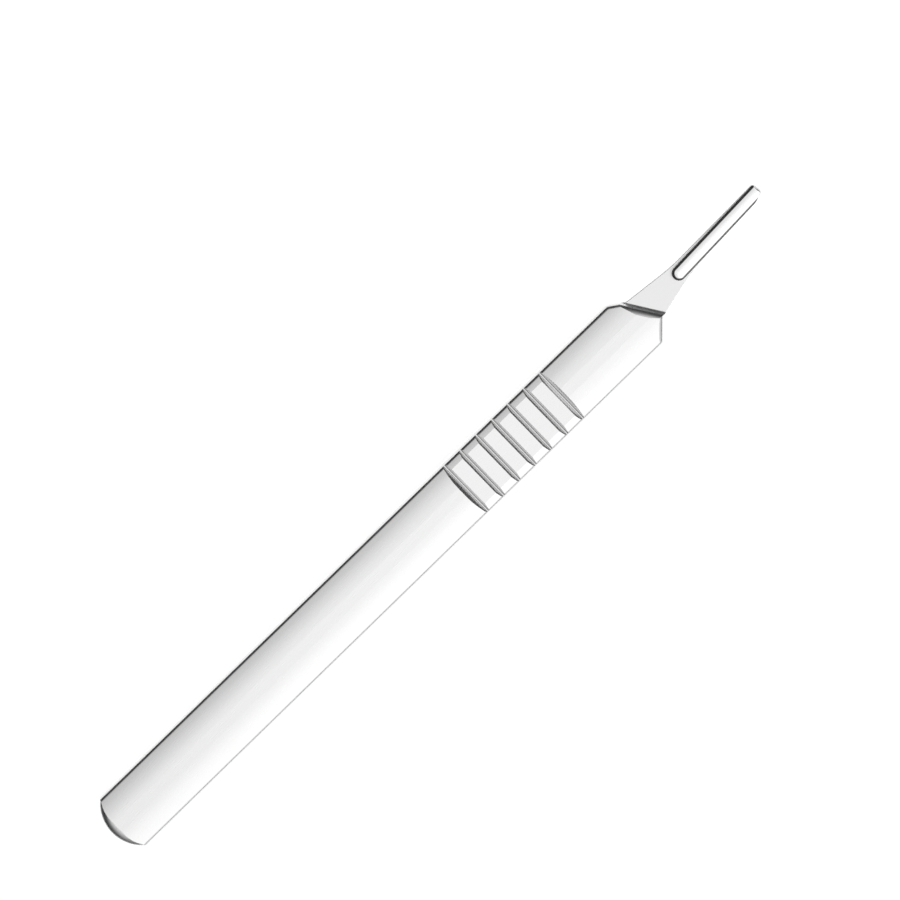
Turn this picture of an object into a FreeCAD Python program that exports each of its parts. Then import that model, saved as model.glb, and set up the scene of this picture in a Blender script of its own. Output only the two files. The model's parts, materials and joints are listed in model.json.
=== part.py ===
"""Scalpel handle of the small flat pattern, in one piece of stainless steel.

A flat bar with crowned faces and rounded edges ends in a rounded butt. Each face has a ribbed grip: a band
milled flat and crossed by grooves. At the front, slanted steps bring both faces down to a thin neck. The
neck runs out into a leaning tang, and the tang's raised key holds a blade's slot in two undercut grooves.

Frame: +X points at the blade, +Y at the edge that the tang leans towards, and +Z out of the face that takes
the blade. The origin is under the middle of the handle, on the plane that it rests on. The model is drawn
with X counted from the butt and Z from the middle of the thickness, and is moved to the origin at the end.
Millimetres and degrees.
"""
import FreeCAD, Part
import math
import os

Vector = FreeCAD.Vector

# Whole handle
LENGTH = 125.0

# Body: the flat bar that the hand holds
BODY_WIDTH = 9.1
BODY_THICKNESS = 2.5
CROWN = 0.4                  # how far a face falls from its middle to its edge
LAND_WIDTH = 1.6             # flat strip along the middle of each face
EDGE_RADIUS = 0.68           # rounding along the body's outline
BUTT_RADIUS = 5.8            # the round end, seen from above
BUTT_NOSE_RADIUS = 1.4       # the rounding of both faces at the round end
BUTT_NOSE_ANGLE = 46.0       # how far that rounding turns down before the rim
BUTT_RIM_RADIUS = 0.15

# Ribbed grip on both faces
GRIP_TO_STEP = 15.6          # from the middle of the foremost groove
GROOVE_PITCH = 3.03
GROOVE_COUNT = 7
GROOVE_DEPTH = 0.32          # below the ribs
GROOVE_FLOOR_RADIUS = 0.28
GROOVE_REAR_ANGLE = 36.0     # how far a groove's rear wall slopes
GROOVE_FRONT_ANGLE = 48.0    # and its front wall
RIB_FLAT_WIDTH = 6.5         # how much of the crowned width the flat tops of the ribs take

# Shoulders, where the body's long edges turn in towards the neck
UPPER_SHOULDER_TO_STEP = 2.5     # at +Y
UPPER_SHOULDER_ANGLE = 34.0
LOWER_SHOULDER_TO_STEP = 0.45    # at -Y
LOWER_SHOULDER_ANGLE = 46.0
SHOULDER_CORNER_RADIUS = 0.8
SHOULDER_FILLET_RADIUS = 1.2

# Steps from both faces down to the neck, slanted as a blade's rear edge is
STEP_SLANT = 57.0            # between the slanted edge and the handle's length
STEP_EDGE_RADIUS = 1.3       # where the face rounds over into the step
STEP_EDGE_ANGLE = 45.0       # how far that rounding turns down before the wall
STEP_WALL_ANGLE = 62.0       # how far the wall slopes
STEP_FOOT_RADIUS = 0.3

# Neck and tang: one plate. The neck runs from the step, at the handle's middle line, to the tang's root
NECK_THICKNESS = 1.0
NECK_LENGTH = 7.5
NECK_WIDTH = 5.45            # at the step
NECK_OFFSET = 0.26           # of the neck's middle, towards +Y, at the step
TANG_LENGTH = 16.2
TANG_ROOT_WIDTH = 2.55
TANG_ROOT_OFFSET = 0.91
TANG_TIP_WIDTH = 2.1
TANG_LEAN = 2.1
TANG_LOWER_START = 1.6       # of the lower side's straight stretch, in front of the root
TANG_FILLET_RADIUS = 25.0
TIP_SLANT = 8.0              # of the tip's end, whose corner at -Y is the foremost
TIP_TAPER_LENGTH = 1.75      # over which the lower side turns in before the end
TIP_TAPER_ANGLE = 13.0
TIP_TAPER_RADIUS = 8.0
TIP_UPPER_RADIUS = 0.45
TIP_LOWER_RADIUS = 0.5
PLATE_EDGE_RADIUS = 0.1

# Key: the raised bar that a blade's slot slides on
KEY_HEIGHT = 0.9             # above the neck, which brings it level with the body's face
KEY_WIDTH = 2.0
KEY_OVER_NECK = 0.8          # how far the key's round rear end reaches back over the neck
KEY_OFFSET = 0.78            # of the key's middle, towards +Y, at the tang's root
KEY_LEAN = 2.5
KEY_CROWN_RADIUS = 3.8
KEY_BEVEL_WIDTH = 0.24       # seen from above
KEY_BEVEL_ANGLE = 42.0
KEY_BEVEL_RADIUS = 0.25      # where the crown rounds over into the bevel
KEY_SETBACK = 0.15           # of the key's front end, from the tip's
KEY_TAPER_SETBACK = 0.05     # of the key's side beside the tip, from the plate's
KEY_TAPER_RADIUS = 3.0
KEY_FRONT_EDGE_RADIUS = 0.25
KEY_TIP_LOWER_RADIUS = 0.45
KEY_TIP_UPPER_RADIUS = 0.3
KEY_WEB_WIDTH = 1.1          # left between the two grooves
BLADE_GROOVE_HEIGHT = 0.45   # for a blade 0.4 thick
BLADE_GROOVE_DELAY = 1.4     # from the key's rear end to where the grooves start

SPARE = 5.0                  # how far blanks and tools reach past what they shape

TANG_ROOT = LENGTH - TANG_LENGTH
STEP = TANG_ROOT - NECK_LENGTH
KEY_START = TANG_ROOT - KEY_OVER_NECK
FACE_Z = BODY_THICKNESS / 2
NECK_FACE_Z = FACE_Z - KEY_HEIGHT
NECK_BACK_Z = NECK_FACE_Z - NECK_THICKNESS
UP = Vector(0, 0, 1)
TOUCH = 1e-4                 # points closer than this are one point
SMOOTH = math.radians(5)     # faces that meet at less than this are one surface to the eye
LEAST_WALL_SHARE = 0.1       # of a step's height that its wall keeps, however large the rounding above is


def line_at(x, y, angle):
    """A line in plan, as a point on it and its direction."""
    turn = math.radians(angle)
    return Vector(x, y, 0), Vector(math.cos(turn), math.sin(turn), 0)


def line_through(a, b):
    return a, (b - a).normalize()


def shifted_left(line, distance):
    point, along = line
    return point + UP.cross(along) * distance, along


def meet(first, second):
    """Where two lines in plan cross."""
    (p, u), (q, v) = first, second
    along = ((q.x - p.x) * v.y - (q.y - p.y) * v.x) / (u.x * v.y - u.y * v.x)
    return p + u * along


def rounded_loop(corners):
    """Closed wire in plan through (point, radius) corners, with a tangent arc where the radius isn't zero."""
    turns = []
    for i, (point, radius) in enumerate(corners):
        back = (corners[i - 1][0] - point).normalize()
        ahead = (corners[(i + 1) % len(corners)][0] - point).normalize()
        half = back.getAngle(ahead) / 2
        trim = radius / math.tan(half)
        inward = (back + ahead).normalize()
        middle = point + inward * (radius / math.sin(half) - radius)
        turns.append((point + back * trim, middle, point + ahead * trim))
    edges = []
    for i, (start, middle, end) in enumerate(turns):
        if corners[i][1] > 0:
            edges.append(Part.Arc(start, middle, end).toShape())
        edges.append(Part.makeLine(end, turns[(i + 1) % len(turns)][0]))
    return Part.Wire(edges)


def prism(wire, bottom, top):
    """Upright solid over a wire in plan."""
    face = Part.Face(wire)
    face.translate(UP * bottom)
    return face.extrude(UP * (top - bottom))


def bend(centre, radius, first, last):
    """Arc of a profile, between two slopes of its surface in degrees: 0 faces +Z and 90 faces +X.

    A hollow arc has a negative radius.
    """
    points = []
    for angle in (first, (first + last) / 2, last):
        turn = math.radians(angle)
        points.append(centre + Vector(math.sin(turn), 0, math.cos(turn)) * radius)
    return Part.Arc(*points).toShape()


def start_of(piece):
    return piece if isinstance(piece, Vector) else piece.valueAt(piece.FirstParameter)


def end_of(piece):
    return piece if isinstance(piece, Vector) else piece.valueAt(piece.LastParameter)


def profile(pieces):
    """Face in the XZ plane round points and arcs, which straight lines join."""
    edges = []
    for i, piece in enumerate(pieces):
        if not isinstance(piece, Vector):
            edges.append(piece)
        here, there = end_of(piece), start_of(pieces[(i + 1) % len(pieces)])
        if here.distanceToPoint(there) > TOUCH:
            edges.append(Part.makeLine(here, there))
    return Part.Face(Part.Wire(edges))


def crown_radius():
    run = (BODY_WIDTH - LAND_WIDTH) / 2
    return (run ** 2 + CROWN ** 2) / (2 * CROWN)


def crown_drop(across):
    """How far a face lies below its land, at a distance from the middle line."""
    radius = crown_radius()
    return radius - math.sqrt(radius ** 2 - (across - LAND_WIDTH / 2) ** 2)


def crowned_bar():
    """The body as a bar along X, with a flat land and falling arcs above and below, and sharp edges."""
    radius = crown_radius()
    edge_slope = math.degrees(math.asin((BODY_WIDTH - LAND_WIDTH) / 2 / radius))
    fall = bend(Vector(LAND_WIDTH / 2, 0, FACE_Z - radius), radius, 0, edge_slope)
    quarter = profile([Vector(0, 0, 0), Vector(0, 0, FACE_Z), fall, Vector(BODY_WIDTH / 2, 0, 0)])
    quarter.rotate(Vector(), UP, 90)
    quarter.translate(Vector(-SPARE, 0, 0))
    quarter = quarter.extrude(Vector(LENGTH + 2 * SPARE, 0, 0))
    half = quarter.fuse(quarter.mirror(Vector(), Vector(0, 1, 0)))
    return half.fuse(half.mirror(Vector(), UP)).removeSplitter()


def tang_lines():
    """The tang in plan: its lower side, the taper there, its slanted end and its upper side.

    The foremost point is at LENGTH.
    """
    root = Vector(TANG_ROOT, TANG_ROOT_OFFSET, 0)
    root_edge = Vector(0, TANG_ROOT_WIDTH / 2, 0)
    tip = root + Vector(1, math.tan(math.radians(TANG_LEAN)), 0) * (LENGTH - TANG_ROOT)
    tip_edge = Vector(0, TANG_TIP_WIDTH / 2, 0)
    lower = line_through(root - root_edge, tip - tip_edge)
    start = meet(lower, line_at(LENGTH - TIP_TAPER_LENGTH, 0, 90))
    lower_angle = math.degrees(math.atan2(lower[1].y, lower[1].x))
    taper = line_at(start.x, start.y, lower_angle + TIP_TAPER_ANGLE)
    rounding = meet(shifted_left(taper, TIP_LOWER_RADIUS), line_at(LENGTH - TIP_LOWER_RADIUS, 0, 90))
    end = shifted_left(line_at(rounding.x, rounding.y, 90 + TIP_SLANT), -TIP_LOWER_RADIUS)
    return lower, taper, end, line_through(tip + tip_edge, root + root_edge)


def outline_lines():
    """The straight stretches of the outline in front of the grip, from -Y round the tip to +Y."""
    edge = BODY_WIDTH / 2
    lower_shoulder = STEP - LOWER_SHOULDER_TO_STEP
    upper_shoulder = STEP - UPPER_SHOULDER_TO_STEP
    neck = Vector(STEP, NECK_OFFSET, 0)
    neck_edge = Vector(0, NECK_WIDTH / 2, 0)
    tang_lower, taper, end, tang_upper = tang_lines()
    lower_root = meet(tang_lower, line_at(TANG_ROOT + TANG_LOWER_START, 0, 90))
    upper_root = meet(tang_upper, line_at(TANG_ROOT, 0, 90))
    return [
        line_at(lower_shoulder, -edge, 0),
        line_at(lower_shoulder, -edge, LOWER_SHOULDER_ANGLE),
        line_through(neck - neck_edge, lower_root),
        tang_lower,
        taper,
        end,
        tang_upper,
        line_through(upper_root, neck + neck_edge),
        line_at(upper_shoulder, edge, -UPPER_SHOULDER_ANGLE),
        line_at(upper_shoulder, edge, 0),
    ]


def outline():
    """The handle's outline in plan. It runs past the butt, whose round end has a tool of its own."""
    lines = outline_lines()
    radii = [
        SHOULDER_CORNER_RADIUS,
        SHOULDER_FILLET_RADIUS,
        TANG_FILLET_RADIUS,
        TIP_TAPER_RADIUS,
        TIP_LOWER_RADIUS,
        TIP_UPPER_RADIUS,
        TANG_FILLET_RADIUS,
        SHOULDER_FILLET_RADIUS,
        SHOULDER_CORNER_RADIUS,
    ]
    corners = [(meet(lines[i], lines[i + 1]), radius) for i, radius in enumerate(radii)]
    end = [(Vector(-SPARE, side * BODY_WIDTH / 2, 0), 0) for side in (1, -1)]
    return rounded_loop(end + corners)


def sharp_edges(solid):
    """The edges where two faces meet at an angle, rather than smoothly."""
    found = []
    for edge in solid.Edges:
        first, last = edge.ParameterRange
        point = edge.valueAt((first + last) / 2)
        faces = solid.ancestorsOfType(edge, Part.Face)
        normals = [face.normalAt(*face.Surface.parameter(point)) for face in faces]
        if len(normals) == 2 and normals[0].cross(normals[1]).Length > math.sin(SMOOTH):
            found.append(edge)
    return found


def follows(edge, loop):
    """Whether an edge runs along a loop in plan. An upright edge that stands on the loop doesn't."""
    first, last = edge.ParameterRange
    points = [edge.valueAt(first + (last - first) * share) for share in (0, 0.5, 1)]
    on_loop = all(loop.distToShape(Part.Vertex(Vector(p.x, p.y, 0)))[0] < TOUCH for p in points)
    return on_loop and math.hypot(points[1].x - points[0].x, points[1].y - points[0].y) > TOUCH


def in_step_frame(tool):
    """Turns and moves a tool drawn with X across the slanted step, and Y along it."""
    tool.rotate(Vector(), UP, 90 - STEP_SLANT)
    tool.translate(Vector(STEP, 0, 0))
    return tool


def key_axis():
    """The key's middle line in plan, from its rear end."""
    rise = (KEY_START - TANG_ROOT) * math.tan(math.radians(KEY_LEAN))
    return line_at(KEY_START, KEY_OFFSET + rise, KEY_LEAN)


def in_key_frame(shape):
    """Turns and moves a shape drawn along X, so that it runs along the key from its rear end."""
    shape.rotate(Vector(), UP, KEY_LEAN)
    shape.translate(key_axis()[0] + UP * NECK_FACE_Z)
    return shape


def butt_tool():
    """A disc with rounded faces and a narrow upright rim, joined to a block that takes in the rest of the body."""
    turn = math.radians(BUTT_NOSE_ANGLE)
    outward = Vector(math.sin(turn), 0, math.cos(turn))
    flat = BUTT_RADIUS - BUTT_NOSE_RADIUS * outward.x - BUTT_RIM_RADIUS * (1 - outward.x)
    nose_centre = Vector(flat, 0, FACE_Z - BUTT_NOSE_RADIUS)
    rim_centre = nose_centre + outward * (BUTT_NOSE_RADIUS - BUTT_RIM_RADIUS)
    upper = profile([
        Vector(0, 0, 0),
        Vector(0, 0, FACE_Z),
        bend(nose_centre, BUTT_NOSE_RADIUS, 0, BUTT_NOSE_ANGLE),
        bend(rim_centre, BUTT_RIM_RADIUS, BUTT_NOSE_ANGLE, 90),
        Vector(BUTT_RADIUS, 0, 0),
    ]).revolve(Vector(), UP, 360)
    reach = BODY_WIDTH / 2 + SPARE
    block = Part.makeBox(LENGTH, 2 * reach, BODY_THICKNESS + 2 * SPARE, Vector(0, -reach, -FACE_Z - SPARE))
    tool = block.fuse([upper, upper.mirror(Vector(), UP)])
    tool.translate(Vector(BUTT_RADIUS, 0, 0))
    return tool


def step_arcs(height):
    """The rounded edge and the hollow foot of a step, which starts at X = 0 and Z = 0 and goes down."""
    slope = math.radians(STEP_WALL_ANGLE)
    foot_height = STEP_FOOT_RADIUS * (1 - math.cos(slope))
    most = (height * (1 - LEAST_WALL_SHARE) - foot_height) / (1 - math.cos(math.radians(STEP_EDGE_ANGLE)))
    radius = min(STEP_EDGE_RADIUS, most)
    edge = bend(Vector(0, 0, -radius), radius, 0, STEP_EDGE_ANGLE)
    wall_top = end_of(edge)
    wall_run = (height - foot_height + wall_top.z) / math.tan(slope)
    foot_x = wall_top.x + wall_run + STEP_FOOT_RADIUS * math.sin(slope)
    foot_centre = Vector(foot_x, 0, STEP_FOOT_RADIUS - height)
    return edge, bend(foot_centre, -STEP_FOOT_RADIUS, STEP_WALL_ANGLE, 0)


def step_run():
    """How far the higher of the two steps reaches forward in plan."""
    return max(end_of(step_arcs(height)[1]).x for height in (KEY_HEIGHT, FACE_Z + NECK_BACK_Z))


def step_tool(height):
    """Clears the upper face down by a height, in front of the slanted step."""
    far = LENGTH - STEP + SPARE
    reach = BODY_WIDTH / 2 + far
    face = profile([*step_arcs(height), Vector(far, 0, -height), Vector(far, 0, SPARE), Vector(0, 0, SPARE)])
    face.translate(Vector(0, -reach, FACE_Z))
    return in_step_frame(face.extrude(Vector(0, 2 * reach, 0)))


def wall_rim(foot, angle, height):
    """Where a wall that slopes up from its foot, forwards or with a negative angle backwards, reaches a height."""
    return Vector(foot.x + (height - foot.z) / math.tan(math.radians(angle)), 0, height)


def grip_tool():
    """Mills the ribs' flat tops and the grooves between them out of the upper face, in one profile."""
    rib = FACE_Z - crown_drop(RIB_FLAT_WIDTH / 2)
    high = FACE_Z + SPARE
    middles = [STEP - GRIP_TO_STEP - i * GROOVE_PITCH for i in reversed(range(GROOVE_COUNT))]
    pieces = []
    for middle in middles:
        centre = Vector(middle, 0, rib - GROOVE_DEPTH + GROOVE_FLOOR_RADIUS)
        floor = bend(centre, -GROOVE_FLOOR_RADIUS, GROOVE_REAR_ANGLE, -GROOVE_FRONT_ANGLE)
        pieces.append(wall_rim(start_of(floor), -GROOVE_REAR_ANGLE, high if middle == middles[0] else rib))
        pieces.append(floor)
        pieces.append(wall_rim(end_of(floor), GROOVE_FRONT_ANGLE, high if middle == middles[-1] else rib))
    face = profile(pieces)
    face.translate(Vector(0, -BODY_WIDTH / 2 - SPARE, 0))
    return face.extrude(Vector(0, BODY_WIDTH + 2 * SPARE, 0))


def in_front_of_step(start):
    """Everything that lies further forward than a distance from the slanted step."""
    block = Part.makeBox(LENGTH, 2 * LENGTH, 2 * LENGTH, Vector(start, -LENGTH, -LENGTH))
    return in_step_frame(block)


def outline_edges(solid):
    """The sharp edges that run along the outline."""
    loop = outline()
    return [edge for edge in sharp_edges(solid) if follows(edge, loop)]


def body():
    """The crowned bar with its edges and butt rounded, down to the foot of both steps."""
    blank = crowned_bar().common(prism(outline(), -FACE_Z, FACE_Z))
    blank = blank.cut(in_front_of_step(step_run() + 2 * EDGE_RADIUS))
    rims = [edge for edge in outline_edges(blank) if edge.BoundBox.XMax > 0]
    blank = blank.makeFillet(EDGE_RADIUS, rims).common(butt_tool())
    back_step = step_tool(FACE_Z + NECK_BACK_Z).mirror(Vector(), UP)
    return blank.cut([step_tool(KEY_HEIGHT), back_step, in_front_of_step(step_run())])


def neck_and_tang():
    """The plate in front of the steps, with its rims rounded."""
    plate = prism(outline(), NECK_BACK_Z, NECK_FACE_Z)
    rims = [edge for edge in outline_edges(plate) if edge.BoundBox.XMax > 0]
    return plate.makeFillet(PLATE_EDGE_RADIUS, rims).common(in_front_of_step(step_run()))


def key_section():
    """Right half of the key's section, in the XZ plane, with its middle line at X = 0 and its foot at Z = 0."""
    half = KEY_WIDTH / 2
    turn = math.radians(KEY_BEVEL_ANGLE)
    within = KEY_CROWN_RADIUS - KEY_BEVEL_RADIUS
    slope = math.asin((half - KEY_BEVEL_WIDTH - KEY_BEVEL_RADIUS * math.sin(turn)) / within)
    centre = Vector(0, 0, KEY_HEIGHT - KEY_CROWN_RADIUS)
    edge_centre = centre + Vector(math.sin(slope), 0, math.cos(slope)) * within
    edge = bend(edge_centre, KEY_BEVEL_RADIUS, math.degrees(slope), KEY_BEVEL_ANGLE)
    return profile([
        Vector(0, 0, 0),
        bend(centre, KEY_CROWN_RADIUS, 0, math.degrees(slope)),
        edge,
        end_of(edge) + Vector(1, 0, -math.tan(turn)) * KEY_BEVEL_WIDTH,
        Vector(half, 0, 0),
    ])


def key_front():
    """What the key's front end is trimmed to: upright walls along the tip's taper and end, with a rounded rim."""
    lower = shifted_left(key_axis(), -KEY_WIDTH / 2)
    taper = shifted_left(tang_lines()[1], KEY_TAPER_SETBACK)
    end = shifted_left(tang_lines()[2], KEY_SETBACK)
    upper = shifted_left(key_axis(), KEY_WIDTH / 2)
    behind = line_at(KEY_START - SPARE, 0, 90)
    block = prism(rounded_loop([
        (meet(behind, lower), 0),
        (meet(lower, taper), KEY_TAPER_RADIUS),
        (meet(taper, end), KEY_TIP_LOWER_RADIUS),
        (meet(end, upper), KEY_TIP_UPPER_RADIUS),
        (meet(upper, behind), 0),
    ]), NECK_FACE_Z, FACE_Z)
    rims = [edge for edge in block.Edges if edge.BoundBox.ZMin > FACE_Z - TOUCH and edge.BoundBox.XMax > KEY_START]
    return block.makeFillet(KEY_FRONT_EDGE_RADIUS, rims)


def key():
    """The raised bar, with a round rear end and a groove that undercuts each side."""
    length = LENGTH - KEY_START + SPARE
    section = key_section()
    half = section.extrude(Vector(0, length, 0))
    bar = half.fuse([half.mirror(Vector(), Vector(1, 0, 0)), section.revolve(Vector(), UP, 360)])
    bar.rotate(Vector(), UP, -90)
    bar.translate(Vector(KEY_WIDTH / 2, 0, 0))
    bar = in_key_frame(bar.removeSplitter()).common(key_front())
    for side in (-1, 1):
        groove = Part.makeBox(length, SPARE, BLADE_GROOVE_HEIGHT)
        groove.translate(Vector(BLADE_GROOVE_DELAY, min(0, side) * SPARE, 0))
        groove.translate(Vector(0, side * KEY_WEB_WIDTH / 2, 0))
        bar = bar.cut(in_key_frame(groove))
    return bar


def scalpel_handle():
    handle = body().fuse([neck_and_tang(), key()]).removeSplitter()
    grip = grip_tool()
    handle = handle.cut([grip, grip.mirror(Vector(), UP)])
    handle.translate(Vector(-LENGTH / 2, 0, FACE_Z))
    return handle


if __name__ == "__main__":
    os.makedirs("parts", exist_ok=True)
    scalpel_handle().exportStep("parts/scalpel_handle.step")
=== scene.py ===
"""Looks for the scalpel handle: satin steel with a bead-blasted neck and a polished key, on a white table.

Lengths are metres, in the part's frame: +X points at the blade, +Y at the edge that the tang leans to, and
+Z out of the face that takes the blade. The handle lies on the plane Z = 0.
"""

import json
import math

import bpy
from mathutils import Matrix, Vector


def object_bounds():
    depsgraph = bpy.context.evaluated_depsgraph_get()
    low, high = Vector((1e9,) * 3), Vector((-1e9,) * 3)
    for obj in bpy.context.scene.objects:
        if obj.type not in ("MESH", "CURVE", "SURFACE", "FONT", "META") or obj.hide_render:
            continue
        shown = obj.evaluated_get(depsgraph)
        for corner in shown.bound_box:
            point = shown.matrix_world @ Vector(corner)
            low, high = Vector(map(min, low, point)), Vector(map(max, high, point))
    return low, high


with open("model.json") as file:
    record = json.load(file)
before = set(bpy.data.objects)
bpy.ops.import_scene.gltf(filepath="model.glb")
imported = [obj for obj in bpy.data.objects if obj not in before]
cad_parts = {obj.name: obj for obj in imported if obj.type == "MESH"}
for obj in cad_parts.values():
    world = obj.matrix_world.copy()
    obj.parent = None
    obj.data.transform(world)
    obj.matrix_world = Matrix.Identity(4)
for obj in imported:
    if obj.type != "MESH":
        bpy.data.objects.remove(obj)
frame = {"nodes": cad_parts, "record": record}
cad_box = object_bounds()

MM = 0.001
NODE = "scalpel_handle"
NECK_FACE = next(m for m in frame["record"]["mounts"] if m["name"] == "blade_fitting")["pos_m"][2]

# The slanted step, whose foot is where the blasted neck starts
TANG_LENGTH = 16.2 * MM
NECK_LENGTH = 7.5 * MM           # from the step to the tang's root, at the handle's middle line
STEP_RUN = 1.38 * MM             # from the step to its foot, square to the slant
STEP_TURN = math.radians(33)     # of the way that the step faces, from +X towards +Y
STEP_FOOT_X = cad_box[1][0] - TANG_LENGTH - NECK_LENGTH + STEP_RUN / math.cos(STEP_TURN)

# Camera: almost straight above, with the handle's length at this angle to the picture's bottom edge
PICTURE = 900                    # pixels a side
PIXELS_PER_MM = 7.3
HANDLE_ANGLE = 44.198
AIM = Vector((7.12, 5.29, 1.5)) * MM      # the point at the picture's middle
LENS, SENSOR = 200.0, 36.0       # focal length and sensor width, in millimetres
NEAREST, FARTHEST = 0.05, 20.0   # what the camera sees lies between these distances
TILT_TO_UPPER_EDGE = 2.5         # how far the camera leans towards +Y, in degrees
TILT_TO_BUTT = 1.0               # and towards -X

# Light: a dome that is brightest 30 degrees from overhead, on the side of -Y. It falls off towards the
# handle's two ends, and is dark along the horizon
BRIGHT_SIDE = (0.05, -0.5, 0.87)
DOME_LEVEL = -0.90               # the strength square to the bright side
DOME_CONTRAST = 2.42             # how much it rises from there to the bright side itself
DOME_FLOOR = 0.03                # the strength is nowhere less
HORIZON_TOP = 0.35               # the sine of the height below which the dome fades to dark
MIDDLE = 0.015                   # the direction's X where the dome doesn't fall off
END_SHARE = 0.55                 # of the dome's light that is left towards the handle's two ends
END_START = 0.3                  # how far from the middle, in X, it has fallen to that

TABLE_SIZE = 6.0
TABLE_COLOUR = 0.45
TABLE_LIFT = 0.85                # what the table glows with, to the eye and to what mirrors it

# Finishes
BODY_COLOUR = 0.88
BLASTED_COLOUR = 1.0
SATIN_ROUGHNESS = 0.28
BLASTED_ROUGHNESS = 0.38
POLISHED_ROUGHNESS = 0.15
GRAIN_SCALE = 900.0              # the satin finish's grain, per metre, along the handle
GRAIN_STRETCH = 14.0             # how much finer it is across
GRAIN_DETAIL = 3.0
GRAIN_ROUGHNESS = 0.05           # how much the roughness differs within the grain
GRAIN_STRENGTH = 0.07            # of the bump
BEAD_SCALE = 12000.0             # the blasted finish's dents, per metre
BEAD_DETAIL = 2.0
BEAD_STRENGTH = 0.5
BUMP_DEPTH = 0.002 * MM
EDGE_BLEND = 0.03 * MM           # half the width over which one finish passes into the next


def new_material(name):
    material = bpy.data.materials.new(name)
    material.use_nodes = True
    material.node_tree.nodes.clear()
    return material


class Nodes:
    """Adds nodes to a tree and links them."""

    def __init__(self, tree):
        self.tree = tree

    def add(self, kind, sockets=None, **settings):
        node = self.tree.nodes.new(kind)
        for key, value in settings.items():
            setattr(node, key, value)
        for key, value in (sockets or {}).items():
            if isinstance(value, bpy.types.NodeSocket):
                self.tree.links.new(value, node.inputs[key])
            else:
                node.inputs[key].default_value = value
        return node

    def math(self, operation, *values):
        return self.add("ShaderNodeMath", dict(enumerate(values)), operation=operation).outputs[0]

    def vector(self, operation, first, second):
        return self.add("ShaderNodeVectorMath", {0: first, 1: second}, operation=operation).outputs

    def noise(self, place, scale, detail):
        sockets = {"Vector": place, "Scale": scale, "Detail": detail}
        return self.add("ShaderNodeTexNoise", sockets).outputs["Fac"]

    def ramp(self, value, start, end):
        """Rises smoothly from 0 to 1 as the value goes from start to end."""
        sockets = {"Value": value, "From Min": start, "From Max": end}
        return self.add("ShaderNodeMapRange", sockets, interpolation_type="SMOOTHSTEP").outputs[0]

    def mix(self, share, first, second):
        return self.add("ShaderNodeMix", {0: share, 2: first, 3: second}).outputs[0]


def steel():
    """Satin body, bead-blasted neck and tang, and a polished key."""
    material = new_material("satin_steel")
    nodes = Nodes(material.node_tree)
    place = nodes.add("ShaderNodeTexCoord").outputs["Object"]
    height = nodes.add("ShaderNodeSeparateXYZ", {0: place}).outputs["Z"]

    forward = (math.cos(STEP_TURN), math.sin(STEP_TURN), 0)
    from_foot = nodes.vector("SUBTRACT", place, (STEP_FOOT_X, 0, 0))[0]
    ahead = nodes.vector("DOT_PRODUCT", from_foot, forward)["Value"]
    in_front = nodes.ramp(ahead, -EDGE_BLEND, EDGE_BLEND)
    above = nodes.ramp(height, NECK_FACE, NECK_FACE + 2 * EDGE_BLEND)
    key = nodes.math("MULTIPLY", in_front, above)
    blasted = nodes.math("SUBTRACT", in_front, key)

    stretch = {"Vector": place, "Scale": (1, GRAIN_STRETCH, GRAIN_STRETCH)}
    grain = nodes.noise(nodes.add("ShaderNodeMapping", stretch).outputs[0], GRAIN_SCALE, GRAIN_DETAIL)
    beads = nodes.noise(place, BEAD_SCALE, BEAD_DETAIL)

    satin = nodes.math("MULTIPLY_ADD", grain, GRAIN_ROUGHNESS, SATIN_ROUGHNESS - GRAIN_ROUGHNESS / 2)
    roughness = nodes.mix(blasted, satin, BLASTED_ROUGHNESS)
    roughness = nodes.mix(key, roughness, POLISHED_ROUGHNESS)
    grey = nodes.mix(blasted, BODY_COLOUR, BLASTED_COLOUR)
    bump = nodes.add("ShaderNodeBump", {
        "Height": nodes.mix(blasted, grain, beads),
        "Distance": BUMP_DEPTH,
        "Strength": nodes.mix(blasted, GRAIN_STRENGTH, BEAD_STRENGTH),
    }).outputs[0]
    shader = nodes.add("ShaderNodeBsdfPrincipled", {
        "Base Color": nodes.add("ShaderNodeCombineColor", {0: grey, 1: grey, 2: grey}).outputs[0],
        "Metallic": 1.0,
        "Roughness": roughness,
        "Normal": bump,
    })
    nodes.add("ShaderNodeOutputMaterial", {"Surface": shader.outputs[0]})
    return material


def floor_material():
    """White table. The eye and the steel see it lifted to white, and it keeps the handle's shadow."""
    material = new_material("white_table")
    nodes = Nodes(material.node_tree)
    colour = (TABLE_COLOUR, TABLE_COLOUR, TABLE_COLOUR, 1)
    diffuse = nodes.add("ShaderNodeBsdfDiffuse", {"Color": colour})
    rays = nodes.add("ShaderNodeLightPath").outputs
    seen = nodes.math("MAXIMUM", rays["Is Camera Ray"], rays["Is Glossy Ray"])
    seen = nodes.math("MAXIMUM", seen, rays["Is Transmission Ray"])
    lift = nodes.add("ShaderNodeEmission", {"Strength": nodes.math("MULTIPLY", seen, TABLE_LIFT)})
    shader = nodes.add("ShaderNodeAddShader", {0: diffuse.outputs[0], 1: lift.outputs[0]})
    nodes.add("ShaderNodeOutputMaterial", {"Surface": shader.outputs[0]})
    return material


def table():
    bpy.ops.mesh.primitive_plane_add(size=TABLE_SIZE)
    floor = bpy.context.object
    floor.name = "table"
    floor.data.materials.append(floor_material())


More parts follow.
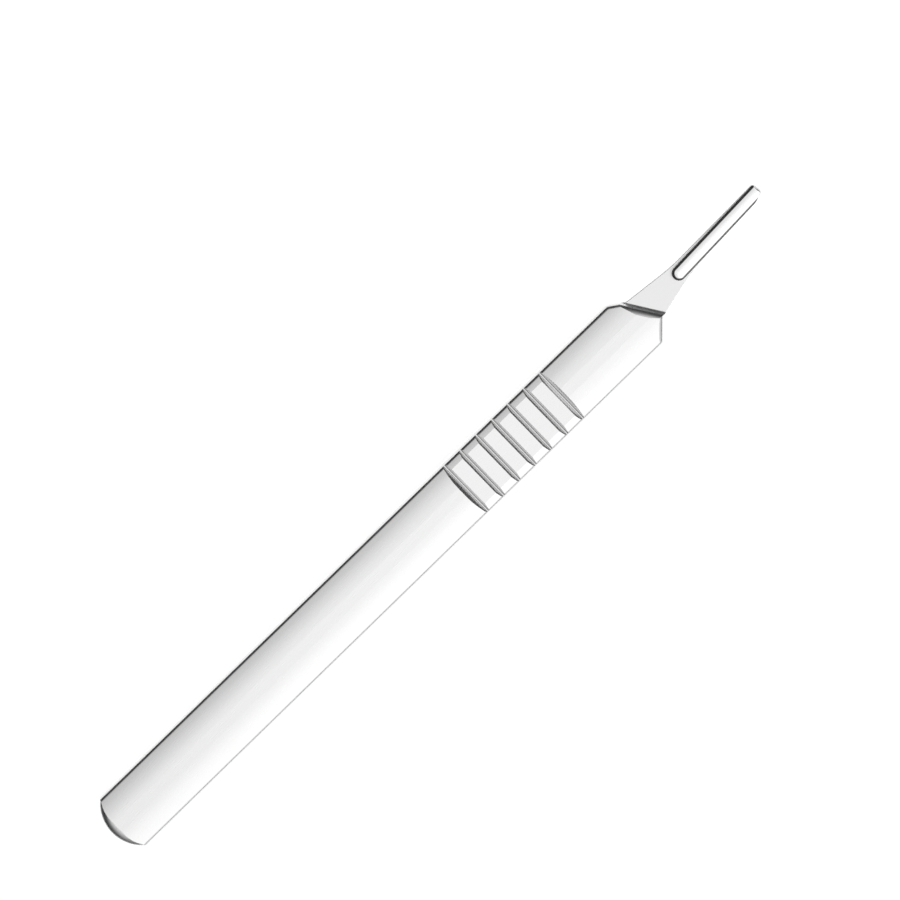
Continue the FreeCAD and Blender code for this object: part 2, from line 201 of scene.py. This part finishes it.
def lights():
    """A soft studio dome."""
    world = bpy.data.worlds.new("studio")
    bpy.context.scene.world = world
    world.use_nodes = True
    world.node_tree.nodes.clear()
    nodes = Nodes(world.node_tree)
    direction = nodes.add("ShaderNodeTexCoord").outputs["Generated"]
    facing = nodes.vector("DOT_PRODUCT", direction, Vector(BRIGHT_SIDE).normalized())["Value"]
    strength = nodes.math("MULTIPLY_ADD", facing, DOME_CONTRAST, DOME_LEVEL)
    parts = nodes.add("ShaderNodeSeparateXYZ", {0: direction}).outputs
    from_middle = nodes.math("ABSOLUTE", nodes.math("SUBTRACT", parts["X"], MIDDLE))
    middle = nodes.ramp(from_middle, END_START, 0)
    strength = nodes.math("MULTIPLY", strength, nodes.mix(middle, END_SHARE, 1.0))
    strength = nodes.math("MULTIPLY", strength, nodes.ramp(parts["Z"], 0, HORIZON_TOP))
    strength = nodes.math("MAXIMUM", strength, DOME_FLOOR)
    background = nodes.add("ShaderNodeBackground", {"Color": (1, 1, 1, 1), "Strength": strength})
    nodes.add("ShaderNodeOutputWorld", {"Surface": background.outputs[0]})


def camera():
    lens = bpy.data.cameras.new("camera")
    lens.lens, lens.sensor_width = LENS, SENSOR
    lens.clip_start, lens.clip_end = NEAREST, FARTHEST
    seen = bpy.data.objects.new("camera", lens)
    bpy.context.collection.objects.link(seen)
    turn = math.radians(HANDLE_ANGLE)
    right = Vector((math.cos(turn), -math.sin(turn), 0))
    to_butt = math.tan(math.radians(TILT_TO_BUTT))
    to_upper_edge = math.tan(math.radians(TILT_TO_UPPER_EDGE))
    back = Vector((-to_butt, to_upper_edge, 1)).normalized()
    up = back.cross(right).normalized()
    right = up.cross(back)
    axes = Matrix((right, up, back)).transposed()
    distance = LENS / SENSOR * PICTURE / PIXELS_PER_MM * MM
    seen.matrix_world = Matrix.Translation(AIM + back * distance) @ axes.to_4x4()
    bpy.context.scene.camera = seen


handle = frame["nodes"][NODE]
handle.material_slots[0].material = steel()
table()
lights()
camera()
bpy.context.scene.view_settings.view_transform = "Standard"
